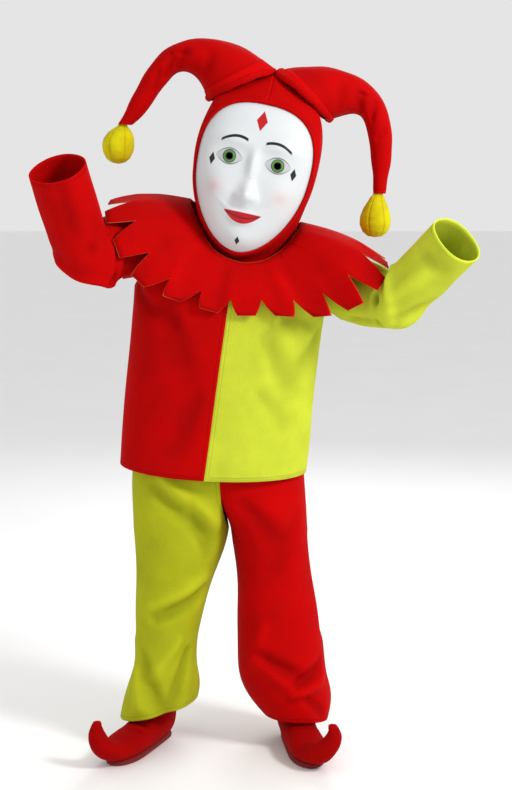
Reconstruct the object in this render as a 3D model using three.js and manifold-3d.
// Jester costume, worn: tunic, sleeves, tabbed collar, hood, cap with two horns, mask, trousers and shoes.
// Millimetres, +Z up, the wearer faces -Y and +X is on the viewer's right. Heights in the tables are over
// the floor. The whole group is lowered at the end, so that its origin is the middle of the neck opening.
import * as THREE from 'three';
import Module from 'manifold-3d';

// Driving dimensions
const CLOTH = 3; // foam-backed fleece
const SHELL = 2.6; // formed mask
const SEAM = 0.3; // gap between two pieces at a seam
const SOLE = 5;
const RIGHT = 1; // the viewer's right
const LEFT = -1;
const FRONT = -1; // towards -Y
const BACK = 1;

const RED = 0xbb0303;
const YELLOW = 0xd8dc30;
const BALL_YELLOW = 0xe9dd26;
const MASK_WHITE = 0xf1f2ee;
const SOLE_RED = 0x6e0404;

const costume = new THREE.Group();
const vector = (x, y, z) => new THREE.Vector3(x, y, z);
const degrees = THREE.MathUtils.degToRad;

// Rows of numbers as rows with named columns.
function table(header, rows) {
  const names = header.trim().split(/\s+/);
  return rows.map((row) => Object.fromEntries(names.map((name, i) => [name, row[i]])));
}

// A value between the entries of a list, smooth and never past them: 0 is the first entry, 1 the second.
function smooth(list, at) {
  const i = Math.min(Math.max(Math.floor(at), 0), list.length - 2);
  const t = at - i;
  const step = list[i + 1] - list[i];
  const before = i > 0 ? list[i] - list[i - 1] : step;
  const after = i < list.length - 2 ? list[i + 2] - list[i + 1] : step;
  const gentle = (a, b) => (a * b > 0 ? (2 * a * b) / (a + b) : 0);
  const start = t * (1 - t) ** 2 * gentle(before, step);
  const end = t ** 2 * (1 - t) * gentle(step, after);
  return list[i] + t ** 2 * (3 - 2 * t) * step + start - end;
}

// The row of a table at a place between its rows.
const rowAt = (rows, at) => Object.fromEntries(
  Object.keys(rows[0]).map((name) => [name, smooth(rows.map((row) => row[name]), at)]),
);

// A surface through rings: u goes round, v counts the rings.
const loft = (rings) => (u, v) => {
  const points = rings.map((ring) => ring(u));
  return vector(...['x', 'y', 'z'].map((axis) => smooth(points.map((point) => point[axis]), v)));
};

// The point of a unit oval at an angle: square 2 is round, 4 is nearly a box.
function oval(angle, square) {
  const c = Math.cos(angle);
  const s = Math.sin(angle);
  const r = (Math.abs(c) ** square + Math.abs(s) ** square) ** (-1 / square);
  return [r * c, r * s];
}

// Evenly spaced numbers from one value to another, both included.
const span = (from, to, steps) => Array.from({ length: steps + 1 }, (_, i) => from + ((to - from) * i) / steps);

// A closed geometry from points and triangles, with equal points joined and its faces turned outwards.
function solid(points, faces) {
  const known = new Map();
  const kept = [];
  const index = points.map((point) => {
    const key = point.toArray().map((value) => value.toFixed(3)).join();
    if (!known.has(key)) {
      known.set(key, kept.length);
      kept.push(point);
    }
    return known.get(key);
  });
  const triangles = faces
    .map((face) => face.map((i) => index[i]))
    .filter(([a, b, c]) => a !== b && b !== c && c !== a);
  const volume = triangles.reduce(
    (sum, [a, b, c]) => sum + kept[a].dot(vector(0, 0, 0).crossVectors(kept[b], kept[c])),
    0,
  );
  const turned = volume < 0 ? triangles.map(([a, b, c]) => [a, c, b]) : triangles;
  const geometry = new THREE.BufferGeometry();
  geometry.setAttribute('position', new THREE.Float32BufferAttribute(kept.flatMap((p) => p.toArray()), 3));
  geometry.setIndex(turned.flat());
  geometry.computeVertexNormals();
  return geometry;
}

// The direction square to a surface, from two short steps on it.
function square(surface, u, v) {
  const tiny = 1e-3;
  const along = surface(u + tiny, v).sub(surface(u - tiny, v));
  const across = surface(u, v + tiny).sub(surface(u, v - tiny));
  return along.cross(across).normalize();
}

// Which way is out: pieces are hollow towards the middle of their first column's and middle column's points.
function outwards(surface, columns, rows) {
  const v = (rows[0] + rows.at(-1)) / 2;
  const middle = columns[Math.floor(columns.length / 2)];
  const chord = surface(columns[0], v).add(surface(columns.at(-1), v)).multiplyScalar(0.5);
  return Math.sign(square(surface, middle, v).dot(surface(middle, v).sub(chord)));
}

// A cloth wall on a surface: the grid of its outer side, the same grid moved in by the thickness, and strips
// that close the edges. At a seam the first or last column stops half a seam gap short of the seam's plane,
// and its inner side doesn't cross that plane.
function wall(surface, { columns, rows, closed = false, thick = CLOTH, out = 0, seams = {}, place }) {
  const rowsAt = typeof rows === 'function' ? rows : () => rows;
  const turn = outwards(surface, columns, rowsAt(columns[0]));
  const outer = [];
  const inner = [];
  columns.forEach((u, i) => {
    rowsAt(u).forEach((v) => {
      const normal = square(surface, u, Math.max(v, 2e-3)).multiplyScalar(turn);
      const point = surface(u, v).addScaledVector(normal, out);
      const inside = point.clone().addScaledVector(normal, -thick);
      const seam = i === 0 ? seams.start : i === columns.length - 1 && seams.end;
      const axis = typeof seam === 'function' ? seam(v) : seam;
      if (axis) {
        const inwards = i === 0 ? columns[1] : columns[i - 1];
        const side = Math.sign(surface(inwards, v)[axis] - point[axis]) || 1;
        point[axis] += (side * SEAM) / 2;
        inside[axis] = side > 0 ? Math.max(inside[axis], point[axis]) : Math.min(inside[axis], point[axis]);
      }
      outer.push(point);
      inner.push(inside);
    });
  });
  const length = rowsAt(columns[0]).length;
  const count = outer.length;
  const faces = [];
  const quad = (a, b, c, d) => faces.push([a, b, c], [a, c, d]);
  // Both sides of a cell are split along the shorter diagonal of its outer side.
  const cell = (a, b, c, d) => {
    if (outer[a].distanceTo(outer[c]) < outer[b].distanceTo(outer[d]) + 0.01) {
      quad(a, b, c, d);
      quad(count + c, count + b, count + a, count + d);
    } else {
      quad(b, c, d, a);
      quad(count + d, count + c, count + b, count + a);
    }
  };
  const columnPairs = columns.map((_, i) => [i, (i + 1) % columns.length]).slice(0, closed ? undefined : -1);
  for (const [i, next] of columnPairs) {
    for (let j = 0; j < length - 1; j += 1) {
      cell(i * length + j, next * length + j, next * length + j + 1, i * length + j + 1);
    }
    const [a, b] = [i * length, next * length];
    quad(a, count + a, count + b, b);
    quad(a + length - 1, b + length - 1, count + b + length - 1, count + a + length - 1);
  }
  if (!closed) {
    const last = (columns.length - 1) * length;
    for (let j = 0; j < length - 1; j += 1) {
      quad(j, j + 1, count + j + 1, count + j);
      quad(last + j, count + last + j, count + last + j + 1, last + j + 1);
    }
  }
  const points = [...outer, ...inner];
  return solid(place ? points.map(place) : points, faces);
}

function add(name, geometry, color, { roughness = 0.9, group = costume } = {}) {
  const mesh = new THREE.Mesh(geometry, new THREE.MeshStandardMaterial({ color, roughness, metalness: 0 }));
  mesh.name = name;
  group.add(mesh);
  return mesh;
}

// How the upper body stands: the middle line's place and its tilt at every BODY_STEP up from the hem.
const BODY_STEP = 105;
const BODY = table('x z drop', [
  [-91, 707, 2.8],
  [-81, 811, 1.5],
  [-71, 915, 1.5],
  [-60, 1020, 4.5],
  [-48, 1124, 9.5],
  [-29, 1227, 11.5],
  [-7, 1330, 11.8],
]);
// From the straight garment (x to the side, y to the back, z the height over the hem) to where it is worn.
function wear(point) {
  const { x, z, drop } = rowAt(BODY, point.z / BODY_STEP);
  const angle = degrees(drop);
  return vector(x + point.x * Math.cos(angle), point.y, z - point.x * Math.sin(angle));
}

// Tunic: four panels. A row gives the side edge (the side seam, the armhole, then the shoulder seam) and
// where the centre front and the centre back are at the same stage.
const TUNIC = table('side sideY sideH front frontH back backH seam square', [
  [229, 0, 0, 150, -14, 140, -6, -17, 3.0],
  [229, 0, 95, 151, 88, 141, 92, -12, 3.0],
  [227, 0, 190, 151, 186, 143, 190, -9, 3.0],
  [228, 0, 300, 153, 284, 147, 296, -5, 3.0],
  [232, 0, 409, 154, 368, 150, 396, -2, 3.0],
  [214, 52, 455, 152, 408, 149, 446, -1, 3.0],
  [215, 60, 530, 148, 440, 143, 500, 0, 2.9],
  [238, 0, 598, 142, 464, 132, 556, 0, 2.6],
  [142, 0, 611, 136, 484, 118, 588, 0, 2.4],
]);
const ARMPIT = 4; // row of the armhole's lowest point
const SHOULDER = 7; // row of its highest point
const NECK = 8;
const tunicPanel = (side, face) => (t, at) => {
  const row = rowAt(TUNIC, at);
  const [across, forward] = oval((t * Math.PI) / 2, row.square);
  const depth = face === FRONT ? row.front : row.back;
  const height = face === FRONT ? row.frontH : row.backH;
  return vector(
    side * row.side * across + row.seam * (1 - across),
    face * (row.sideY + (depth - row.sideY) * forward),
    height + (row.sideH - height) * across ** 2,
  );
};
for (const [side, sideName, color] of [[LEFT, 'red', RED], [RIGHT, 'yellow', YELLOW]]) {
  for (const [face, faceName] of [[FRONT, 'front'], [BACK, 'back']]) {
    add(`tunic_${faceName}_${sideName}`, wall(tunicPanel(side, face), {
      columns: span(0, 1, 8),
      rows: [0, 1, 2, 3, 4, 4.75, 5.5, 6.25, 7, 7.4, 8],
      seams: { start: 'y', end: 'x' },
      place: wear,
    }), color);
  }
}

// The armhole's edge: 0 is the shoulder, a quarter the front, a half the armpit, three quarters the back.
function armhole(side, u) {
  const front = u < 0.5;
  const at = front ? SHOULDER - (SHOULDER - ARMPIT) * 2 * u : ARMPIT + (SHOULDER - ARMPIT) * (2 * u - 1);
  const row = rowAt(TUNIC, at);
  return vector(side * row.side, (front ? FRONT : BACK) * row.sideY, row.sideH);
}

// Sleeves: a tube along the arm, mitred at the elbow. The first ring is the armhole's edge, and the vents at
// the shoulder and the armpit are open notches in its end.
const SLEEVE_GAP = { front: 2.3, back: 4.3 }; // the sleeve's end off the tunic's side
const VENT = { depth: 0.62, width: 0.1 };
const SLEEVES = {
  [LEFT]: table('x y z wide deep', [
    [-313, -80, 1249, 72, 78],
    [-359, -148, 1243, 69, 70],
    [-385, -186, 1240, 67, 66],
    [-394, -207, 1278, 66, 66],
    [-409, -243, 1345, 65, 65],
    [-428, -290, 1431, 65, 64],
  ]),
  [RIGHT]: table('x y z wide deep', [
    [254, -66, 1143, 72, 78],
    [308, -124, 1129, 69, 70],
    [345, -156, 1122, 67, 62],
    [372, -180, 1153, 65, 62],
    [413, -221, 1206, 65, 63],
    [467, -275, 1272, 65, 64],
  ]),
};
const ELBOW = 2; // row of the mitre
function sleeveRings(side) {
  const rows = SLEEVES[side];
  const centres = rows.map(({ x, y, z }) => vector(x, y, z));
  const shoulder = wear(vector(side * 232, 0, 503));
  const upper = centres[ELBOW].clone().sub(shoulder).normalize();
  const lower = centres[rows.length - 1].clone().sub(centres[ELBOW]).normalize();
  const sideways = upper.clone().cross(lower).normalize();
  sideways.multiplyScalar(Math.sign(-sideways.y));
  const bend = upper.angleTo(lower) / 2;
  const ringAt = ({ wide, deep }, i) => (u) => {
    const axis = i < ELBOW ? upper : i > ELBOW ? lower : upper.clone().add(lower).normalize();
    const inside = axis.clone().cross(sideways).normalize();
    inside.multiplyScalar(Math.sign(inside.z));
    const stretch = i === ELBOW ? 1 / Math.cos(bend) : 1;
    const [c, s] = oval(u * 2 * Math.PI, 2.3);
    return centres[i].clone().addScaledVector(inside, deep * stretch * c).addScaledVector(sideways, wide * s);
  };
  const first = (u) => {
    const turn = ((u % 1) + 1) % 1;
    const gap = SLEEVE_GAP[turn > 0 && turn < 0.5 ? 'front' : 'back'];
    return wear(armhole(side, turn).add(vector(side * gap, 0, 0)));
  };
  return [first, ...rows.map(ringAt)];
}
function sleeveRows(u) {
  const nearest = Math.min(Math.abs(u), Math.abs(u - 1), Math.abs(u - 0.5));
  const start = VENT.depth * Math.max(0, 1 - nearest / VENT.width);
  return [start, (start + 1) / 2, 1, 2, 2.5, 3, 3.5, 4, 5, 6];
}
for (const [side, name, color] of [[LEFT, 'sleeve_red', RED], [RIGHT, 'sleeve_yellow', YELLOW]]) {
  add(name, wall(loft(sleeveRings(side)), {
    columns: span(0, 1, 18).slice(0, -1),
    rows: sleeveRows,
    closed: true,
  }), color);
}

// Collar: one round cape. Rows go from the viewer's right shoulder over the front to the other shoulder and
// round the back, in the straight garment's measures: the neck edge, then the outer edge.
const COLLAR = table('neckX neckY neckH edgeX edgeY edgeH lift', [
  [134, 0, 630, 340, -30, 590, 14],
  [131, -48, 616, 352, -158, 572, 16],
  [117, -84, 588, 326, -226, 508, 20],
  [98, -108, 560, 268, -200, 444, 16],
  [74, -122, 536, 199, -176, 416, 12],
  [44, -128, 520, 102, -170, 402, 12],
  [12, -131, 513, 0, -168, 388, 12],
  [-20, -128, 516, -102, -170, 400, 12],
  [-54, -124, 528, -188, -174, 416, 12],
  [-83, -109, 553, -240, -184, 443, 16],
  [-110, -80, 588, -286, -205, 507, 18],
  [-132, -42, 615, -322, -150, 566, 16],
  [-139, 0, 630, -320, -30, 594, 14],
  [-132, 52, 624, -300, 100, 560, 12],
  [-106, 88, 619, -235, 152, 500, 12],
  [-70, 112, 616, -150, 168, 450, 12],
  [-34, 122, 614, -74, 172, 434, 12],
  [0, 125, 613, 0, 174, 430, 12],
  [34, 122, 614, 74, 172, 434, 12],
  [70, 112, 616, 150, 168, 450, 12],
  [106, 88, 619, 245, 152, 500, 12],
  [129, 52, 624, 315, 100, 560, 12],
]);
const TABS = 24;
const NOTCH = { top: 0.68, width: 0.26 }; // its point from the neck to the edge, and half its width, in tabs
const collarRound = Object.fromEntries(
  Object.keys(COLLAR[0]).map((name) => [name, [...COLLAR, ...COLLAR, ...COLLAR].map((row) => row[name])]),
);
function collarPoint(at, w) {
  const value = (name) => smooth(collarRound[name], at + COLLAR.length);
  const from = vector(value('neckX'), value('neckY'), value('neckH'));
  const to = vector(value('edgeX'), value('edgeY'), value('edgeH'));
  const away = vector(0, Math.sign(to.y) * Math.min(1, Math.abs(to.y) / 150), (Math.abs(to.x) / 330) ** 2);
  return from.lerp(to, w).addScaledVector(away, value('lift') * 4 * w * (1 - w));
}
// Places along the collar's edge at even lengths, measured from the centre front.
const FRONT_ROW = 6;
const edgeSteps = span(0, COLLAR.length, 440);
const edgeLengths = edgeSteps.reduce((lengths, step, i) => {
  const before = i && collarPoint(FRONT_ROW + edgeSteps[i - 1], 1);
  return [...lengths, i && lengths[i - 1] + collarPoint(FRONT_ROW + step, 1).distanceTo(before)];
}, []);
function collarPlace(turn) {
  const wanted = turn * edgeLengths.at(-1);
  const i = Math.max(1, edgeLengths.findIndex((length) => length >= wanted));
  const share = (wanted - edgeLengths[i - 1]) / (edgeLengths[i] - edgeLengths[i - 1]);
  return FRONT_ROW + edgeSteps[i - 1] + share * (edgeSteps[i] - edgeSteps[i - 1]);
}
const TAB_COLUMNS = [0, 0.12, 0.26, 0.74, 0.88];
const collarColumns = span(0, TABS - 1, TABS - 1).flatMap((tab) => TAB_COLUMNS.map((part) => tab + part));
function collarRows(u) {
  const fromNotch = Math.min(u % 1, 1 - (u % 1));
  const open = Math.min(1, fromNotch / NOTCH.width);
  const end = NOTCH.top + 0.02 + (0.98 - NOTCH.top) * open ** 0.8;
  return [0, 0.36, NOTCH.top, end];
}
const collarSurface = (u, w) => collarPoint(collarPlace((((u / TABS) % 1) + 1) % 1), w);
add('collar', wall((u, w) => collarSurface(u, w), {
  columns: collarColumns,
  rows: collarRows,
  closed: true,
  place: wear,
}), RED);

// The head: hood and mask are made upright round the head's middle, then turned and tilted together.
const HEAD = { x: 15, z: 1421, tilt: 12, turn: -4 };
const head = new THREE.Group();
head.position.set(HEAD.x, 0, HEAD.z);
head.rotation.set(0, degrees(HEAD.tilt), degrees(HEAD.turn), 'YZX');
costume.add(head);

// Hood: rings from the face opening, hinged at the chin, over the crown and down the back to the neck.
const HOOD = table('upY upZ lowY lowZ half egg square jaw', [
  [-112, 168, -124, -200, 140, 0.12, 2.6, 1.9],
  [-78, 208, -117, -203, 147, 0.12, 2.5, 2],
  [-30, 232, -113, -206, 147, 0.12, 2.4, 2.05],
  [30, 234, -108, -208, 147, 0.1, 2.3, 2.05],
  [86, 208, -105, -211, 145, 0.09, 2.3, 2.05],
  [124, 150, -103, -214, 139, 0.06, 2.2, 2.05],
  [138, 60, -102, -217, 129, 0.02, 2.2, 2.05],
  [126, -40, -101, -221, 117, 0, 2.2, 2.1],
  [102, -112, -100, -228, 108, 0, 2.2, 2.1],
  [84, -160, -98, -238, 102, 0, 2.2, 2.1],
]);
// A unit oval that is rounder or more pointed in its lower half.
function headOval(angle, { egg, square, jaw }) {
  const [c, s] = oval(angle, Math.cos(angle) < 0 ? jaw : square);
  return [c, s * (1 + egg * c)];
}
const hoodRings = HOOD.map((row) => (u) => {
  const [c, s] = headOval(u, row);
  return vector(row.half * s, (row.upY + row.lowY) / 2 + ((row.upY - row.lowY) / 2) * c,
    (row.upZ + row.lowZ) / 2 + ((row.upZ - row.lowZ) / 2) * c);
});
const hoodSurface = loft(hoodRings);
for (const [side, name] of [[LEFT, 'hood_left'], [RIGHT, 'hood_right']]) {
  add(name, wall(hoodSurface, {
    columns: span(0, side * Math.PI, 9),
    rows: span(0, HOOD.length - 1, 11),
    seams: { start: 'x', end: 'x' },
  }), RED, { group: head });
}

// Mask: an egg-shaped shell that pokes through the face opening, its rim behind the hood's edge. The face
// is a plain calm one: eyes halfway up the head, nose and mouth by the thirds of the face.
const MASK = { half: 135, up: 179, middle: -16, egg: 0.12, square: 2.6, jaw: 1.9, rimY: -94, depth: 74 };
const FACE = { eyeX: 57, eyeZ: 25, pupil: 15, noseZ: -55, mouthZ: -108, mouthHalf: 44, chinZ: -160 };
const hill = (x, z, wide, tall) => Math.exp(-((x / wide) ** 2) - (z / tall) ** 2);
function faceRelief(x, z) {
  const a = Math.abs(x);
  const bridge = 11 * hill(x, z - 12, 13, 42);
  const nose = 24 * hill(x, z - FACE.noseZ, 17, 24) + 7 * hill(a - 19, z - FACE.noseZ + 6, 11, 11);
  const brow = 7 * hill(a - 52, z - 66, 44, 16);
  const socket = -9 * hill(a - FACE.eyeX, z - FACE.eyeZ, 36, 24);
  const eye = 10 * hill(a - FACE.eyeX, z - FACE.eyeZ, 24, 15);
  const cheek = 7 * hill(a - 72, z + 52, 34, 34);
  const smile = 0.006 * a * a;
  const lips = 8 * hill(a / 1.4, z - FACE.mouthZ - smile - 8, 30, 7) + 9 * hill(a, z - FACE.mouthZ - smile + 8, 30, 8);
  const chin = 9 * hill(x, z - FACE.chinZ, 36, 22);
  return bridge + nose + brow + socket + eye + cheek + lips + chin;
}
function maskSurface(u, r) {
  const [c, s] = headOval(u, MASK);
  const x = r * MASK.half * s;
  const z = MASK.middle + r * MASK.up * c;
  const dome = MASK.depth * (1 - Math.min(1, r) ** 2.8) ** 0.55;
  const inside = Math.max(0, 1 - r ** 4);
  return vector(x, MASK.rimY - 26 * (1 - c) * 0.4 * r - dome - inside * faceRelief(x, z), z);
}
const wasm = await Module();
wasm.setup();
function manifold(geometry) {
  const vertProperties = Float32Array.from(geometry.getAttribute('position').array);
  return new wasm.Manifold(new wasm.Mesh({
    numProp: 3,
    vertProperties,
    triVerts: Uint32Array.from(geometry.getIndex().array),
  }));
}
function fromManifold(shape) {
  const { numProp, vertProperties, triVerts } = shape.getMesh();
  const points = [];
  for (let i = 0; i < vertProperties.length; i += numProp) {
    points.push(vector(vertProperties[i], vertProperties[i + 1], vertProperties[i + 2]));
  }
  const faces = [];
  for (let i = 0; i < triVerts.length; i += 3) {
    faces.push([triVerts[i], triVerts[i + 1], triVerts[i + 2]]);
  }
  return solid(points, faces);
}
function punch(x, z, across) {
  const pin = new THREE.CylinderGeometry(across / 2, across / 2, 120, 16);
  pin.translate(x, MASK.rimY - 60, z);
  return pin;
}
function welded(geometry) {
  const position = geometry.getAttribute('position');
  const points = span(0, position.count - 1, position.count - 1).map((i) => vector().fromBufferAttribute(position, i));
  const index = geometry.getIndex() ? Array.from(geometry.getIndex().array) : points.map((_, i) => i);
  const faces = span(0, index.length / 3 - 1, index.length / 3 - 1).map((i) => index.slice(3 * i, 3 * i + 3));
  return solid(points, faces);
}
const maskBlank = wall(maskSurface, {
  columns: span(0, 2 * Math.PI, 32).slice(0, -1),
  rows: span(0, 1, 10).map((r) => Math.min(r, 0.995)),
  closed: true,
  thick: SHELL,
});
const pupils = [LEFT, RIGHT].map((side) => manifold(welded(punch(side * FACE.eyeX, FACE.eyeZ, FACE.pupil))));
const mask = pupils.reduce((shape, pupil) => shape.subtract(pupil), manifold(maskBlank));
add('mask', fromManifold(mask), MASK_WHITE, { roughness: 0.35, group: head });

// Cap: a horn on each side of the crown, cut as a front and a back piece and joined along its outline. A row
// is a ring across the horn: its middle, its half-width in the front view, the turn of that width, its depth.
const HORNS = {
  [LEFT]: table('x z half drop deep', [
    [-21, 1630, 87, -23, 98],
    [-61, 1672, 68, -36, 82],
    [-96, 1692, 56, -46, 68],
    [-138, 1700, 45, -62, 56],
    [-177, 1690, 38, -84, 46],
    [-205, 1669, 33, -112, 38],
    [-229, 1640, 28, -140, 32],
    [-252, 1602, 25, -150, 27],
    [-275, 1562, 22, -160, 23],
    [-299, 1534, 17, -175, 18],
  ]),
  [RIGHT]: table('x z half drop deep', [
    [127, 1603, 88, 41, 98],
    [172, 1612, 73, 56, 84],
    [217, 1614, 59, 73, 70],
    [252, 1606, 46, 94, 58],
    [280, 1588, 36, 116, 48],
    [300, 1562, 32, 148, 40],
    [311, 1524, 30, 170, 34],
    [315, 1484, 27, 175, 28],
    [316, 1440, 23, 176, 23],
    [314, 1402, 18, 179, 18],
    [312, 1370, 14, 180, 14],
  ]),
};
const CAP_Y = 4;
const HORN_STEPS = 7; // columns of a front or back piece
const HORN_STEP = Math.PI / HORN_STEPS;
const BAND_HEIGHT = 0.42; // of the first row's length
const BAND_END = 6; // the bands stop this many columns from the outer side
const hornSurface = (side) => loft(HORNS[side].map(({ x, z, half, drop, deep }) => (u) => {
  const [c, s] = oval(u, 2.2);
  const along = side * half * c;
  return vector(x + along * Math.cos(degrees(drop)), CAP_Y - deep * s, z - along * Math.sin(degrees(drop)));
}));
for (const [side, sideName] of [[LEFT, 'left'], [RIGHT, 'right']]) {
  for (const [face, faceName] of [[FRONT, 'front'], [BACK, 'back']]) {
    add(`horn_${sideName}_${faceName}`, wall(hornSurface(side), {
      columns: span(0, -face * Math.PI, HORN_STEPS),
      rows: [0, BAND_HEIGHT, ...span(1, HORNS[side].length - 1, 10)],
      seams: { start: 'y', end: 'y' },
    }), RED);
  }
}

// Cap bands: a hemmed strip round the foot of each horn, laid on it and open where the horns meet.
for (const [side, name] of [[LEFT, 'cap_band_left'], [RIGHT, 'cap_band_right']]) {
  add(name, wall(hornSurface(side), {
    columns: span(-BAND_END * HORN_STEP, BAND_END * HORN_STEP, 2 * BAND_END),
    rows: [0, BAND_HEIGHT],
    out: CLOTH + 3 * SEAM,
  }), RED);
}

// Balls: stuffed, one hung on each horn's tip. A profile gives the radius at heights from the bottom up.
const BALLS = {
  [LEFT]: { x: -316, z: 1486, rows: table('radius z', [[0, -45], [16, -42], [29, -32], [37, -15], [39, 0],
    [36.5, 16], [29, 30], [16, 40.5], [0, 44]]) },
  [RIGHT]: { x: 303, z: 1314, rows: table('radius z', [[0, -49], [18, -46], [31, -35], [38, -17], [37, 2],
    [30, 22], [21, 38], [16, 48], [0, 51]]) },
};
for (const [side, name] of [[LEFT, 'ball_left'], [RIGHT, 'ball_right']]) {
  const { x, z, rows } = BALLS[side];
  const ball = new THREE.LatheGeometry(rows.map((row) => new THREE.Vector2(row.radius, row.z)), 16);
  ball.rotateX(Math.PI / 2);
  ball.translate(x, CAP_Y, z);
  add(name, welded(ball), BALL_YELLOW);
}

// Trousers: four panels. A row gives a leg's outer and inner edge. Above the crotch the inner edge is the
// centre seam, and share says how far round the leg's oval that seam comes: 0 at the waist, 1 at the crotch.
const LEG_COLUMNS = 'z outer inner share deep y square drop lift';
const LEGS = {
  [LEFT]: table(LEG_COLUMNS, [
    [930, -232, -62, 0, 112, 0, 2.2, 0, 0],
    [850, -262, -66, 0.05, 119, 0, 2.3, 0, 0],
    [770, -280, -72, 0.15, 123, 0, 2.4, 0, 0],
    [690, -288, -74, 0.32, 123, 0, 2.4, 0, 0],
    [620, -291, -67, 0.67, 122, 0, 2.4, 0, 0],
    [550, -290, -52, 1, 118, 0, 2.4, 0, 0],
    [500, -289, -64, 1, 110, -2, 2.4, 0, 0],
    [412, -287, -99, 1, 98, -6, 2.3, 0, 0],
    [325, -287, -121, 1, 92, -10, 2.3, 0, 0],
    [258, -288, -132, 1, 90, -8, 2.3, 0, 0],
    [200, -288, -134, 1, 92, -4, 2.3, 0, 0],
    [146, -312, -126, 1, 100, 0, 2.3, -6, 0],
    [88, -328, -134, 1, 104, 2, 2.3, -15, 6],
  ]),
  [RIGHT]: table(LEG_COLUMNS, [
    [930, 108, -62, 0, 112, 0, 2.2, 0, 0],
    [850, 122, -66, 0.05, 119, 0, 2.3, 0, 0],
    [770, 129, -72, 0.15, 123, 0, 2.4, 0, 0],
    [690, 130, -74, 0.32, 123, 0, 2.4, 0, 0],
    [620, 139, -65, 0.67, 122, 0, 2.4, 0, 0],
    [550, 142, -48, 1, 118, 0, 2.4, 0, 0],
    [500, 148, -40, 1, 108, -2, 2.4, 0, 0],
    [412, 160, -29, 1, 104, -6, 2.3, 0, 0],
    [325, 175, -29, 1, 106, -10, 2.3, 0, 0],
    [235, 187, -33, 1, 110, -8, 2.3, 0, 0],
    [174, 190, -30, 1, 112, -4, 2.3, 0, 0],
    [120, 206, -8, 1, 108, 0, 2.3, 0, 6],
    [64, 196, 34, 1, 98, 2, 2.3, 4, 14],
  ]),
};
const CROTCH = 5; // the row under which each leg is a tube of its own
const legPanel = (side, face) => (t, at) => {
  const row = rowAt(LEGS[side], at);
  const share = Math.min(1, row.share);
  const half = Math.abs(row.outer - row.inner) / (1 + share);
  const middle = row.outer - side * half;
  const last = Math.atan2((1 - share ** row.square) ** (1 / row.square), -share);
  const [c, s] = oval(t * last, row.square);
  const slope = -side * half * c * Math.sin(degrees(row.drop)) * side;
  return vector(middle + side * half * c, row.y + face * row.deep * s, row.z + slope * side - face * row.lift * s);
};
for (const [side, sideName, color] of [[LEFT, 'yellow', YELLOW], [RIGHT, 'red', RED]]) {
  for (const [face, faceName] of [[FRONT, 'front'], [BACK, 'back']]) {
    add(`trousers_${faceName}_${sideName}`, wall(legPanel(side, face), {
      columns: span(0, 1, 7),
      rows: [...span(0, CROTCH, 6), ...span(CROTCH, LEGS[side].length - 1, 10).slice(1)],
      seams: { start: 'y', end: (v) => (v < CROTCH ? 'x' : 'y') },
    }), color);
  }
}

// Shoes: a soft upper from the ankle down to the sole and on to a curled toe, over a flat sole. Rows are
// rings: their front or top point, their back or bottom point, half the width, and how far the toe leans.
const SHOE = table('topF topZ lowF lowZ half lean', [
  [44, 140, -58, 140, 48, 0],
  [48, 103, -64, 88, 48, 0],
  [61, 82, -66, 34, 46, 0],
  [86, 70, -48, 2, 46, 0],
  [118, 65, 20, 0, 48, 0],
  [150, 60, 92, 0, 50, 0],
  [182, 56, 156, 0, 49, 0],
  [210, 53, 204, 2, 42, 0],
  [228, 55, 238, 12, 32, 0.1],
  [239, 62, 263, 32, 24, 0.35],
  [245, 76, 277, 58, 19, 0.7],
  [249, 90, 279, 84, 14, 0.9],
  [254, 103, 272, 101, 9, 0.9],
  [259, 113, 266, 113, 5, 0.8],
]);
const SHOES = {
  [LEFT]: { x: -238, y: 22, turn: -25, lean: -22, name: 'left' },
  [RIGHT]: { x: 113, y: 20, turn: 10, lean: 48, name: 'right' },
};
const SOLE_EDGE = table('half forward', [[0, -58], [24, -54], [36, -40], [40, -10], [41, 50], [44, 120], [43, 165],
  [33, 200], [17, 220], [0, 227]]);
const mirrored = ({ half, forward }) => ({ half: -half, forward });
const toPlane = ({ half, forward }) => new THREE.Vector2(half, -forward);
for (const side of [LEFT, RIGHT]) {
  const { x, y, turn, lean, name } = SHOES[side];
  const shoe = new THREE.Group();
  shoe.position.set(x, y, 0);
  shoe.rotation.z = degrees(turn);
  costume.add(shoe);
  const upper = loft(SHOE.map((row) => (u) => {
    const [c, s] = oval(u, 2.4);
    const forward = (row.topF + row.lowF) / 2 + ((row.topF - row.lowF) / 2) * c;
    const height = (row.topZ + row.lowZ) / 2 + ((row.topZ - row.lowZ) / 2) * c;
    return vector(row.half * s + row.lean * lean, -forward, height + SOLE);
  }));
  const restsOn = SOLE + SEAM;
  const flattened = (u, v) => {
    const point = upper(u, v);
    point.z = Math.max(point.z, restsOn);
    return point;
  };
  add(`shoe_${name}`, wall(flattened, {
    columns: span(0, 2 * Math.PI, 12).slice(0, -1),
    rows: span(0, SHOE.length - 1, 13),
    closed: true,
  }), RED, { group: shoe });
  const outline = new THREE.Shape([...SOLE_EDGE, ...SOLE_EDGE.slice(1, -1).reverse().map(mirrored)].map(toPlane));
  add(`sole_${name}`, welded(new THREE.ExtrudeGeometry(outline, { depth: SOLE, bevelEnabled: false })), SOLE_RED, {
    roughness: 0.6,
    group: shoe,
  });
}

// The origin is the middle of the neck opening.
const NECK_ORIGIN = wear(vector(0, 0, TUNIC[NECK].sideH - 60));
costume.position.set(-NECK_ORIGIN.x, 0, -NECK_ORIGIN.z);

export default costume;
